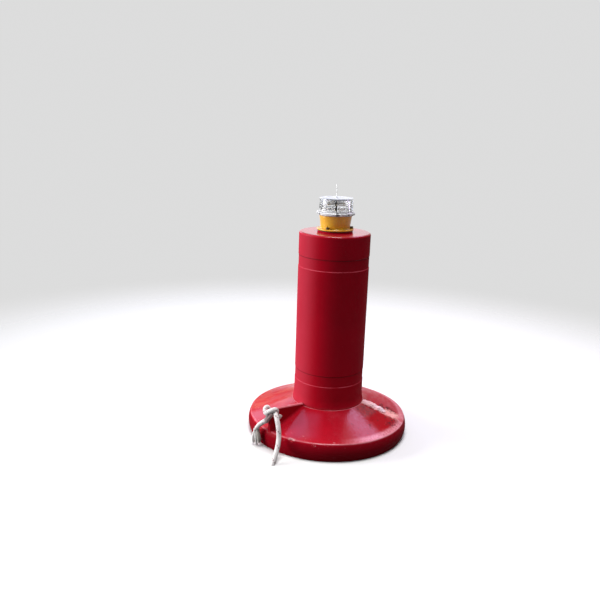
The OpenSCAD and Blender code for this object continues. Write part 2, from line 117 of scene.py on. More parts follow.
def ropePiece(name, lines, sides=None, taper=0.0):
    # one mesh of braided tubes, each with its share of the rope's thickness, or pairs of place and share
    verts, faces, uvs = [], [], []
    sides = sides or rope["sides"]
    for line, thickness in lines:
        frames = framesAlong(line)
        first = len(verts)
        lengths = [0.0]
        for i in range(1, len(line)):
            lengths.append(lengths[-1] + (line[i] - line[i - 1]).length)
        for i, (u, v) in enumerate(frames):
            fromEnd = min(lengths[i], lengths[-1] - lengths[i])
            share = shareAt(thickness, lengths[i] / lengths[-1])
            if taper:
                bulge = math.sqrt(max(0.0, 1 - (1 - min(1.0, fromEnd / taper)) ** 2))
                share *= bulge * (1 - rope["endShare"]) + rope["endShare"]
            for k in range(sides):
                a = 2 * math.pi * k / sides
                r = (rope["diameter"] / 2 - rope["relief"] * (1 - braidHeight(lengths[i], k / sides))) * share
                verts.append(line[i] + r * (math.cos(a) * u + math.sin(a) * v))
        for i in range(len(line) - 1):
            for k in range(sides):
                n = (k + 1) % sides
                faces.append([first + i * sides + k, first + i * sides + n,
                              first + (i + 1) * sides + n, first + (i + 1) * sides + k])
                uvs += [(lengths[i], k / sides), (lengths[i], (k + 1) / sides),
                        (lengths[i + 1], (k + 1) / sides), (lengths[i + 1], k / sides)]
        for end, order in ((0, -1), (len(line) - 1, 1)):
            onward = (line[end] - line[abs(end - 1)]).normalized()
            verts.append(line[end] + onward * rope["diameter"] * rope["cap"])
            ring = [first + end * sides + k for k in range(sides)]
            for k in range(sides):
                pair = [ring[k], ring[(k + 1) % sides]]
                faces.append((pair if order == 1 else pair[::-1]) + [len(verts) - 1])
                uvs += [(lengths[end], k / sides)] * 3
    mesh = bpy.data.meshes.new(name)
    mesh.from_pydata(verts, [], faces)
    layer = mesh.uv_layers.new(name="ropeMap")
    for loop, uv in zip(layer.data, uvs):
        loop.uv = uv
    mesh.polygons.foreach_set("use_smooth", [True] * len(mesh.polygons))
    piece = bpy.data.objects.new(name, mesh)
    scene.collection.objects.link(piece)
    return piece


def shareAt(thickness, t):
    # a line's thickness at a share of its length, in rope diameters
    if not isinstance(thickness, list):
        return thickness
    for (t0, s0), (t1, s1) in zip(thickness, thickness[1:]):
        if t <= t1:
            return s0 + (s1 - s0) * (t - t0) / (t1 - t0)
    return thickness[-1][1]


def inMetres(points):
    return [Vector(p) / 1000 for p in points]


def lengthOf(line):
    return sum((b - a).length for a, b in zip(line, line[1:]))


hangLine = curveThrough(inMetres(rope["hang"]), rope["step"])
tailLine = curveThrough(inMetres(rope["tail"]), rope["step"])
ropeHang = ropePiece("ropeHang", [(hangLine, 1.0)])
ropeTail = ropePiece("ropeTail", [(tailLine, 1.0)], taper=rope["taper"])
print("rope laid:", round(lengthOf(hangLine), 3), round(lengthOf(tailLine), 3))

knot = {
    "lugAngle": 226.4,  # of the front lug, in degrees
    # distance from the buoy's axis, offset from the lug's middle and height, in mm
    "loop": [(316, 12, 147), (317, -9, 147), (320, -20, 155), (327, -21, 167), (335, -22, 175), (345, -23, 174),
             (352, -19, 165), (354.5, -6, 157.5), (352, 6, 166), (346, 14.5, 172.5), (338, 20, 175.5),
             (329, 21, 174.5), (322, 21, 168.5), (319, 19.5, 159), (319, 15, 151)],
    "loopThick": [(0, 0.8), (0.46, 0.78), (0.56, 1.04), (0.84, 1.06), (1, 0.7)],
    "stub": [(317, 2, 147), (318, 14, 141), (318, 25, 136), (316, 32, 140), (313, 36, 151)],
    "stubThick": 0.74,
    "drop": [(346, 20, 160), (352, 15, 149), (356, 6, 134), (357, -1, 120)],  # short end outside the lug
    "dropThick": [(0, 0.8), (0.6, 0.85), (1, 0.7)],
}


def byTheLug(points):
    # places beside the front lug, from outwards, sideways and height in mm
    a = math.radians(knot["lugAngle"])
    out, across = Vector((math.cos(a), math.sin(a), 0)), Vector((-math.sin(a), math.cos(a), 0))
    return [(out * r + across * off + Vector((0, 0, z))) / 1000 for r, off, z in points]


stubLine = curveThrough(byTheLug(knot["stub"]), rope["step"])
dropLine = curveThrough(byTheLug(knot["drop"]), rope["step"])
ropeKnot = ropePiece("ropeKnot", [(curveThrough(byTheLug(knot["loop"]), rope["step"]), knot["loopThick"])])
ropeStub = ropePiece("ropeStub", [(stubLine, knot["stubThick"])])

stopper = {
    "size": 0.0105,
    "squeeze": 0.92,  # share of its size that is left when it is tight
    "deep": 1.25,  # of the trefoil, front to back
    "thick": 0.96,
    "centre": (-0.228, -0.428, -0.205),
    "points": 96,
}
turns = []
for i in range(stopper["points"] + 1):
    t = 2 * math.pi * i / stopper["points"]
    trefoil = Vector((math.sin(t) + 2 * math.sin(2 * t), stopper["deep"] * math.sin(3 * t),
                      math.cos(t) - 2 * math.cos(2 * t)))
    turns.append(trefoil * stopper["size"] * stopper["squeeze"] + Vector(stopper["centre"]))
ropeStopper = ropePiece("ropeStopper", [(turns, stopper["thick"])])

fray = {
    # the three bundles that the tail's end has come apart into, beside the lug, in mm, and their thickness
    "bundles": [
        ([(364, -56, 76), (368, -63, 55), (370, -67, 33), (370, -66, 11)],
         [(0, 0.6), (0.5, 0.78), (1, 0.62)]),
        ([(365, -54, 74), (368, -54, 54), (370, -51, 32), (369, -47, 7)],
         [(0, 0.55), (0.5, 0.62), (1, 0.45)]),
        ([(361, -51, 80), (364, -45, 60), (365, -39, 42), (364, -35, 20)],
         [(0, 0.7), (0.4, 0.90), (0.8, 0.84), (1, 0.6)]),
    ],
    "radius": {"bundle": 0.009, "drop": 0.0064, "stub": 0.0066},
    "tail": {"seed": 11, "count": 70, "long": (0.003, 0.006), "thick": 0.0006, "spread": 0.35},
    "stub": {"seed": 5, "count": 90, "long": (0.002, 0.005), "thick": 0.0006, "spread": 0.25},
    "rooted": 0.003,  # how deep in the end a yarn starts
    "bend": 0.12,
}


def frayPiece(name, ends, seed, count, long, thick, spread):
    # loose yarns that stand out of cut ends, each end a place, a direction and a radius
    rng = random.Random(seed)
    lines = bpy.data.curves.new(name, "CURVE")
    lines.dimensions = "3D"
    lines.bevel_depth = thick
    lines.bevel_resolution = 1
    for tip, towards, radius in ends:
        u = towards.orthogonal().normalized()
        v = towards.cross(u)
        for _ in range(count):
            a, share = rng.uniform(0, 2 * math.pi), math.sqrt(rng.random())
            rim = math.cos(a) * u + math.sin(a) * v
            start = tip + rim * radius * share * 0.9 - towards * fray["rooted"]
            reach = rng.uniform(*long)
            lean = towards + rim * spread * share * rng.uniform(0.3, 1.0)
            bend = Vector([rng.uniform(-1, 1) for _ in range(3)]) * fray["bend"] * reach
            line = lines.splines.new("NURBS")
            line.points.add(3)
            for k in range(4):
                t = k / 3
                line.points[k].co = (*(start + lean * reach * t + bend * math.sin(math.pi * t)), 1)
            line.use_endpoint_u = True
            line.order_u = 3
    piece = bpy.data.objects.new(name, lines)
    scene.collection.objects.link(piece)
    bpy.ops.object.select_all(action="DESELECT")
    piece.select_set(True)
    bpy.context.view_layer.objects.active = piece
    bpy.ops.object.convert(target="MESH")
    return bpy.context.view_layer.objects.active


def endOf(line, radius):
    # the last point of a line, its direction there and a radius
    return line[-1], (line[-1] - line[-4]).normalized(), radius


bundles = [(curveThrough(byTheLug(b), rope["step"]), thickness) for b, thickness in fray["bundles"]]
tailEnds = ropePiece("tailEnds", bundles[:2], rope["looseSides"])
shadedGreyEnd = ropePiece("shadedGreyEnd", bundles[2:], rope["looseSides"])
innerEnd = ropePiece("innerEnd", [(dropLine, knot["dropThick"])], rope["looseSides"])
cutEnds = [endOf(b, thickness[-1][1] * fray["radius"]["bundle"]) for b, thickness in bundles]
cutEnds.append(endOf(dropLine, fray["radius"]["drop"]))
tailFray = frayPiece("tailFray", cutEnds, **fray["tail"])
stubFray = frayPiece("stubFray", [endOf(stubLine, fray["radius"]["stub"])], **fray["stub"])
print("knot tied")

for piece in (ropeHang, ropeTail, ropeKnot, ropeStub, ropeStopper,
              tailEnds, shadedGreyEnd, innerEnd, tailFray, stubFray):
    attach(piece, "buoy")
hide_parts("rope_hang")
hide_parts("rope_tail")
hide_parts("rope_knot")
lengthOf(hangLine)
lengthOf(tailLine)


def pickFaces(piece, test):
    # leaves edit mode on, with only the faces selected that pass the test
    bpy.ops.object.mode_set(mode="OBJECT")
    for part in (piece.data.vertices, piece.data.edges, piece.data.polygons):
        part.foreach_set("select", [False] * len(part))
    for face in piece.data.polygons:
        face.select = test(face.center, face.normal)
    bpy.ops.object.mode_set(mode="EDIT")


def newPiece(name, add, **values):
    # adds a primitive, alone selected and active
    bpy.ops.object.select_all(action="DESELECT")
    add(**values)
    piece = bpy.context.object
    piece.name = name
    return piece


def settle(piece):
    # puts place, turn and scale into the mesh
    bpy.ops.object.mode_set(mode="OBJECT")
    bpy.ops.object.select_all(action="DESELECT")
    piece.select_set(True)
    bpy.context.view_layer.objects.active = piece
    bpy.ops.object.transform_apply(location=True, rotation=True, scale=True)


def modify(piece, kind, **values):
    # adds a modifier and applies it
    change = piece.modifiers.new(kind.lower(), kind)
    for name, value in values.items():
        setattr(change, name, value)
    bpy.ops.object.modifier_apply(modifier=change.name)


stump = {
    "angle": 346.4,
    "slope": 19.4,  # of the deck, in degrees as the angle is
    "seat": (0.158, 0.140),  # distance and height where the deck meets the column
    "deep": 0.010,  # how far it reaches into the deck
    "start": (0.012, 0.0085, 0.020),  # length, height above the deck and width of the block at the column
    "blocks": [(0.018, 0.0110, 0.021), (0.022, 0.0115, 0.019), (0.010, 0.0080, 0.021), (0.018, 0.0120, 0.018),
               (0.018, 0.0075, 0.019), (0.008, 0.0055, 0.017), (0.006, 0.0010, 0.022), (0.030, 0.0010, 0.024),
               (0.054, 0.0012, 0.020)],
    "skirt": ((0.004, 0.002), (0.006, 0.006)),  # steps of the slope on the near side, out and down
    "voxel": 0.0015,
    # grain and height of the two roughnesses
    "rag": (0.014, 0.0075),
    "chew": (0.0055, 0.0035),
    "smooth": 35,  # edges under this many degrees are shaded smooth
}


def tornRidge():
    # ragged plastic left standing where a lug was torn off, made along X and then turned onto the deck
    deep, (long, high, wide) = stump["deep"], stump["start"]
    ridge = newPiece("tornRidge", bpy.ops.mesh.primitive_cube_add, size=1,
                     location=(long / 2, 0, (high - deep) / 2))
    ridge.scale = (long, wide, high + deep)
    settle(ridge)
    for length, height, width in stump["blocks"]:
        pickFaces(ridge, lambda centre, normal: normal.x > 0.9)
        bpy.ops.mesh.extrude_region_move(TRANSFORM_OT_translate={"value": (length, 0, 0)})
        long += length
        bpy.ops.transform.resize(value=(1, width / wide, (height + deep) / (high + deep)),
                                 center_override=(long, 0, -deep))
        high, wide = height, width
    for step, drop in stump["skirt"]:
        pickFaces(ridge, lambda centre, normal: normal.y < -0.7)
        bpy.ops.mesh.extrude_region_move(TRANSFORM_OT_translate={"value": (0, -step, -drop)})
    bpy.ops.object.mode_set(mode="OBJECT")
    modify(ridge, "REMESH", mode="VOXEL", voxel_size=stump["voxel"])
    for name, (grain, height) in (("ragCloud", stump["rag"]), ("chewCloud", stump["chew"])):
        cloud = bpy.data.textures.new(name, "CLOUDS")
        cloud.noise_scale = grain
        cloud.noise_depth = 2
        modify(ridge, "DISPLACE", texture=cloud, strength=height, mid_level=0.5, texture_coords="LOCAL")
    angle, (away, height) = math.radians(stump["angle"]), stump["seat"]
    ridge.location = (away * math.cos(angle), away * math.sin(angle), height)
    ridge.rotation_euler = (0, math.radians(stump["slope"]), angle)
    settle(ridge)
    bpy.ops.object.shade_smooth_by_angle(angle=math.radians(stump["smooth"]))
    return ridge


ridge = tornRidge()
print("torn ridge shaped:", len(ridge.data.polygons), "faces")

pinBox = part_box("shackle_pin")
splitPin = {
    "x": pinBox[1][0] - 0.004,
    "z": (pinBox[0][2] + pinBox[1][2]) / 2,
    "wire": 0.0016,
    "eye": 0.0042,
    "start": -0.0112,  # place along Y where the eye ends
    "long": 0.026,  # straight part of the legs
    "middle": 0.0005,  # and where it is centred
    "bends": ((0.0015, 0.0012), (0.0006, 0.0030), (-0.0008, 0.0040)),  # steps of a leg's tip, onward and aside
    "smooth": 50,  # as for the ridge
}


def splitPinPiece():
    # a bent split pin through the end of the shackle pin
    x, z, wire = splitPin["x"], splitPin["z"], splitPin["wire"]
    pin = newPiece("splitPin", bpy.ops.mesh.primitive_torus_add, major_radius=splitPin["eye"],
                   minor_radius=wire * 0.62, major_segments=32, minor_segments=12,
                   location=(x, splitPin["start"] - splitPin["eye"], z), rotation=(0, math.pi / 2, 0))
    settle(pin)
    for side in (-1, 1):
        leg = newPiece("pinLeg", bpy.ops.mesh.primitive_cylinder_add, vertices=16, radius=wire * 0.6,
                       depth=splitPin["long"], location=(x, splitPin["middle"], z + side * wire * 0.5),
                       rotation=(math.pi / 2, 0, 0))
        settle(leg)
        pickFaces(leg, lambda centre, normal: normal.y > 0.9)
        for onward, aside in splitPin["bends"]:
            bpy.ops.mesh.extrude_region_move(TRANSFORM_OT_translate={"value": (0, onward, side * aside)})
        bpy.ops.object.mode_set(mode="OBJECT")
        pin.select_set(True)
        bpy.context.view_layer.objects.active = pin
        bpy.ops.object.join()
    bpy.ops.object.shade_smooth_by_angle(angle=math.radians(splitPin["smooth"]))
    return pin


cotter = splitPinPiece()
for piece, body, slotName in ((ridge, "buoy", "torn_plastic"), (cotter, "shackle", "bright_steel")):
    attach(piece, body)
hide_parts("lug_stump")
print("small pieces made")


class Wire:  # a shader socket that takes part in arithmetic
    def __init__(self, finish, socket):
        self.finish = finish
        self.socket = socket

    def __add__(self, other):
        return self.finish.calc("ADD", self, other)

    def __radd__(self, other):
        return self.finish.calc("ADD", other, self)

    def __sub__(self, other):
        return self.finish.calc("SUBTRACT", self, other)

    def __rsub__(self, other):
        return self.finish.calc("SUBTRACT", other, self)

    def __mul__(self, other):
        return self.finish.calc("MULTIPLY", self, other)

    def __truediv__(self, other):
        return self.finish.calc("DIVIDE", self, other)

    def __mod__(self, other):
        return self.finish.calc("FLOORED_MODULO", self, other)

    def __lt__(self, other):
        return self.finish.calc("LESS_THAN", self, other)

    def __abs__(self):
        return self.finish.calc("ABSOLUTE", self)


class Finish:  # one material and the nodes that make it
    def __init__(self, name, **fixed):
        self.material = bpy.data.materials.new(name)
        self.material.use_nodes = True
        self.tree = self.material.node_tree
        self.tree.nodes.clear()
        self.shader = self.tree.nodes.new("ShaderNodeBsdfPrincipled")
        self.body = Wire(self, self.shader.outputs[0])
        self.out = self.tree.nodes.new("ShaderNodeOutputMaterial")
        self.show(self.body)
        self.wear(**fixed)

    def show(self, surface):
        self.feed(self.out.inputs["Surface"], surface)

    def wear(self, **sockets):
        for name, value in sockets.items():
            self.feed(self.shader.inputs[socketNames[name]], value)
        return self

    def feed(self, socket, value):
        if isinstance(value, Wire):
            self.tree.links.new(value.socket, socket)
        elif socket.type == "RGBA" and len(value) == 3:
            socket.default_value = (*value, 1)
        else:
            socket.default_value = value

    def node(self, kind, settings=None, sockets=None, output=0):
        made = self.tree.nodes.new(kind)
        for name, value in (settings or {}).items():
            setattr(made, name, value)
        for name, value in (sockets or {}).items():
            self.feed(made.inputs[name], value)
        return Wire(self, made.outputs[output])

    def calc(self, operation, *values):
        return self.node("ShaderNodeMath", {"operation": operation}, dict(enumerate(values)))

    def join(self, share, first, second):
        # a Mix Shader between two surfaces
        return self.node("ShaderNodeMixShader", None, {0: share, 1: first, 2: second})

    def place(self, scale=(1, 1, 1), shift=(0, 0, 0), turn=(0, 0, 0)):
        spot = self.node("ShaderNodeTexCoord", output="Object")
        if scale == (1, 1, 1) and shift == (0, 0, 0) and turn == (0, 0, 0):
            return spot
        return self.node("ShaderNodeMapping", None, {"Vector": spot, "Scale": scale, "Location": shift,
                                                     "Rotation": turn})

    def map(self):
        return self.node("ShaderNodeUVMap", {"uv_map": "ropeMap"})

    def part(self, vector, axis):
        return self.node("ShaderNodeSeparateXYZ", None, {0: vector}, axis)

    def noise(self, scale, detail=3, rough=0.55, where=None):
        return self.node("ShaderNodeTexNoise", None, {"Vector": where or self.place(), "Scale": scale,
                                                      "Detail": detail, "Roughness": rough})

    def cells(self, scale, feature="F1"):
        return self.node("ShaderNodeTexVoronoi", {"feature": feature}, {"Vector": self.place(), "Scale": scale})

    def step(self, value, low, high):
        # from 0 at low to 1 at high, where low may be the larger
        return self.node("ShaderNodeMapRange", {"interpolation_type": "SMOOTHSTEP"}, {0: value, 1: low, 2: high})

    def between(self, value, low, high, soft):
        # 1 inside a range, with soft ends
        return self.step(value, low - soft, low + soft) * self.step(value, high + soft, high - soft)

    def sector(self, turned, low, high, soft):
        # 1 between two turns about the axis, in degrees
        return self.between(turned, math.radians(low), math.radians(high), soft)

    def most(self, first, second):
        return self.calc("MAXIMUM", first, second)

    def mix(self, share, first, second):
        return self.node("ShaderNodeMix", {"data_type": "RGBA"}, {0: share, 6: first, 7: second}, 2)

    def bump(self, height, depth, strength, under=None):
        sockets = {"Height": height, "Distance": depth, "Strength": strength}
        if under:
            sockets["Normal"] = under
        return self.node("ShaderNodeBump", None, sockets)

    def facingUp(self):
        return self.part(self.node("ShaderNodeNewGeometry", output="Normal"), "Z")


socketNames = {"colour": "Base Color", "rough": "Roughness", "metal": "Metallic", "normal": "Normal",
               "gloss": "Specular IOR Level", "ior": "IOR", "coat": "Coat Weight", "coatRough": "Coat Roughness",
               "through": "Transmission Weight", "sheen": "Sheen Weight"}


def dress(finish, *pieces):
    # puts a finish on pieces, or on CAD nodes by name
    for piece in pieces:
        piece = nodes[piece] if isinstance(piece, str) else piece
        piece.data.materials.clear()
        piece.data.materials.append(finish.material)


redLook = {
    "fresh": (0.43, 0.004, 0.016),
    "deep": (0.345, 0.003, 0.012),
    "faded": (0.48, 0.034, 0.060),
    "wall": (0.23, 0.0015, 0.008),  # shaded side of the float
    # painted shade for a patch in front of the torn ridge
    "paintedShadePatch": (0.37, 0.003, 0.009),
    "paintedSunOrange": (0.52, 0.046, 0.026),
    "scuff": (0.74, 0.30, 0.33),
    # painted lilac reflection on the deck's front left
    "hazeAndReflection": (0.44, 0.038, 0.080),
    "paintedLight": (0.76, 0.13, 0.19),
    # painted shade on the column's top face
    "top": (0.26, 0.003, 0.012),
    # pale pink of the shoulder's wear and of painted highlights
    "rim": (0.90, 0.36, 0.44),
    "pale": (0.88, 0.47, 0.48),
    "peach": (0.88, 0.46, 0.43),
    "chalky": (0.46, 0.10, 0.13),
    "dirtAndShade": (0.072, 0.018, 0.020),
    "dots": (0.17, 0.010, 0.022),
    "slime": (0.050, 0.052, 0.016),
    "chalk": (0.32, 0.30, 0.24),
    "shadedCorners": (0.286, 0.782),  # heights of the tape bands' upper inner corners, where shade is painted
    "litLedges": (0.241, 0.737),  # and of their lower ones, where a highlight is painted
    "shoulder": (0.0732, 0.0768),  # heights between which the float's shoulder is rounded
    "paintedLeftSheen": (-0.048, -0.118),  # X over which the painted sheen on the column's left side comes in
    # heights over which wet, growth and shells come in
    "wetFrom": (0.014, 0.004),
    "slimeFrom": (0.002, -0.030),
    "shellsFrom": (-0.03, -0.06),
    "rough": 0.24,
}

deckMarks = {
    # turns about the axis, from and to in degrees, and the softness of the ends in radians
    "rightTurn": (-68, 60, 0.25),
    "reflectionTurn": (-116, -98, 0.12),
    "dentGlintTurn": (-116.5, -111.5, 0.012),
    "shadePatchTurn": (-45, -18, 0.11),
    "speckledTurn": (-78, -20, 0.10),
    "chalkedTurn": (-10, 70, 0.12),
    "dottedTurn": (-43, -17, 0.05),
    "outerDottedTurn": (-31, -16, 0.04),
    "spottedTurn": (-80, 10, 0.2),
    # distances from the axis and one height, from and to, and the softness of the ends
    "reflectionFar": (0.180, 0.320, 0.020),
    "footHighlightFar": (0.1535, 0.1590, 0.0012),
    "shadePatchFar": (0.226, 0.316, 0.012),
    "dottedFar": (0.163, 0.228, 0.012),
    "outerDottedFar": (0.288, 0.328, 0.008),
    "spottedFar": (0.21, 0.338, 0.01),
    "dentGlintHeight": (0.0715, 0.0775, 0.0015),
    # the torn ridge's surroundings, outwards along it and to its sides
    "footOut": (0.150, 0.262, 0.008),
    "footSide": (-0.020, 0.018, 0.005),
    "scarOut": (0.256, 0.316, 0.009),
    "scarSide": (-0.022, 0.040, 0.010),
    "tornOut": (0.216, 0.304, 0.008),
    "tornSide": (0.026, 0.072, 0.006),
    # values over which a plain mask comes in
    "wallFrom": (0.074, 0.064),
    "chalkedFrom": (0.165, 0.190),
    "behindY": (-0.13, -0.02),
    "behindX": (-0.12, -0.20),
    "lugShade": (0.040, 0.014),  # distance from the front lug's middle
    "frontY": (0.0, -0.02),
}


def deckWear(f, where, upward, worn, colour, polish, scuffs, specks, film):
    # the marks of the float's deck and shoulder, each in its own place
    x, y, height, far = where
    turned = f.calc("ARCTAN2", y, x)
    low, high = redLook["shoulder"]
    right = f.sector(turned, *deckMarks["rightTurn"])
    colour = f.mix(f.step(height, *deckMarks["wallFrom"]) * (1 - upward) * 0.75, colour, redLook["wall"])
    chips = f.step(f.noise(75, 4, 0.7), 0.60, 0.70) * f.between(height, low - 0.012, high + 0.010, 0.006)
    scuffs = f.most(scuffs, chips * 0.5 * worn)
    # worn pale line on the shoulder, partly a painted highlight, and a broad painted highlight on the right
    line = 0.14 + f.step(f.noise(22, 4, 0.6), 0.3, 0.7) * 0.24 + right * 0.45
    line = line * f.between(height, low, high, 0.0014)
    mottled = 0.55 + f.step(f.noise(90, 5, 0.75), 0.40, 0.60) * 0.45
    broad = f.between(height, low - 0.001, high + 0.0075, 0.003) * right * mottled * 0.66
    colour = f.mix(f.most(line, broad), colour, redLook["rim"])
    # painted lilac reflection on the deck's front left
    hazeAndReflection = f.sector(turned, *deckMarks["reflectionTurn"]) * f.between(far, *deckMarks["reflectionFar"])
    colour = f.mix(hazeAndReflection * (0.30 + f.noise(11, 4, 0.6) * 0.5), colour, redLook["hazeAndReflection"])
    # painted highlight on the shoulder's dent
    dentGlint = f.sector(turned, *deckMarks["dentGlintTurn"]) * f.between(height, *deckMarks["dentGlintHeight"])
    colour = f.mix(dentGlint * (0.3 + f.step(f.noise(140, 3), 0.35, 0.6) * 0.6), colour, redLook["pale"])
    # painted highlight along the column's foot
    footHighlight = f.between(far, *deckMarks["footHighlightFar"]) * (0.15 + f.step(f.noise(15, 4, 0.6), 0.3, 0.65) * 0.35)
    colour = f.mix(footHighlight, colour, redLook["rim"])
    # a darker patch of painted shade, less glossy, and speckled sheen in front of the torn ridge
    grain = f.noise(48, 5, 0.7)
    ragged = (grain - 0.5) * 0.040
    paintedShadePatch = f.sector(turned + (grain - 0.5) * 0.3, *deckMarks["shadePatchTurn"])
    paintedShadePatch = paintedShadePatch * f.between(far + ragged, *deckMarks["shadePatchFar"])
    colour = f.mix(paintedShadePatch * 0.85, colour, redLook["paintedShadePatch"])
    speckled = f.sector(turned, *deckMarks["speckledTurn"])
    uneven = f.step(f.noise(130, 6, 0.85), 0.38, 0.62) - 0.42
    polish = polish * (1 + speckled * uneven) * (1 - paintedShadePatch * 0.85)
    # chalky right rear, and painted sunlight as orange patches on the left rear
    chalked = f.sector(turned, *deckMarks["chalkedTurn"]) * f.step(far, *deckMarks["chalkedFrom"])
    streaked = f.step(f.noise(1.0, 5, 0.7, f.place((70, 22, 22), turn=(0, 0, -0.5))), 0.42, 0.62)
    colour = f.mix(chalked * (0.18 + film * 0.4 + streaked * 0.25), colour, redLook["chalky"])
    polish = polish * (1 - chalked * (1 - streaked) * 0.35)
    behind = f.step(y, *deckMarks["behindY"]) * f.step(x, *deckMarks["behindX"]) * upward
    colour = f.mix(behind * f.step(f.noise(9, 4, 0.6), 0.40, 0.62) * 0.7, colour, redLook["paintedSunOrange"])
    clean = f.step(f.noise(1.0, 4, 0.65, f.place((10, 26, 26), shift=(2, 5, 0))), 0.46, 0.62)
    colour = f.mix(behind * clean * 0.55, colour, redLook["fresh"])
    polish = polish * (1 - chalked * 0.6) * (1 - behind * (0.30 + clean * 0.35))
    b = math.radians(knot["lugAngle"])
    beside = abs(y * math.cos(b) - x * math.sin(b))
    polish = polish * (1 - f.step(beside, *deckMarks["lugShade"]) * f.step(y, *deckMarks["frontY"]))
    # whitened foot and peach scar of the torn ridge, and dark lines beside it
    a = math.radians(stump["angle"])
    out = x * math.cos(a) + y * math.sin(a)
    side = y * math.cos(a) - x * math.sin(a) + ragged
    foot = f.between(out, *deckMarks["footOut"]) * f.between(side, *deckMarks["footSide"])
    scar = f.between(out + ragged, *deckMarks["scarOut"]) * f.between(side, *deckMarks["scarSide"])
    colour = f.mix(foot * 0.8 * f.step(grain, 0.28, 0.50), colour, redLook["pale"])
    colour = f.mix(scar * (0.35 + f.step(f.noise(95, 4, 0.7), 0.36, 0.60) * 0.6), colour, redLook["peach"])
    polish = polish * (1 - scar)
    lines = f.step(abs(f.noise(30, 3, 0.6) - 0.5), 0.050, 0.020)
    torn = lines * f.between(out, *deckMarks["tornOut"]) * f.between(side, *deckMarks["tornSide"])
    specks = f.most(specks, torn * 1.15)
    # dark dots near the column and near the rim
    dotted = f.sector(turned, *deckMarks["dottedTurn"]) * f.between(far, *deckMarks["dottedFar"])
    outer = f.sector(turned, *deckMarks["outerDottedTurn"]) * f.between(far, *deckMarks["outerDottedFar"])
    dotted = f.most(dotted, outer)
    dots = f.step(f.noise(85, 4, 0.75), 0.47, 0.58) * dotted
    colour = f.mix(dots * 0.85, colour, redLook["dots"])
    film = f.most(film, dotted * f.step(f.noise(30, 5, 0.7), 0.32, 0.62) * 0.9)
    spots = f.step(f.noise(85, 2, 0.5, f.place(shift=(5, 1, 8))), 0.66, 0.72)
    spots = spots * f.between(far, *deckMarks["spottedFar"])
    specks = f.most(specks, spots * f.sector(turned, *deckMarks["spottedTurn"]))
    return colour, polish, scuffs, specks, film


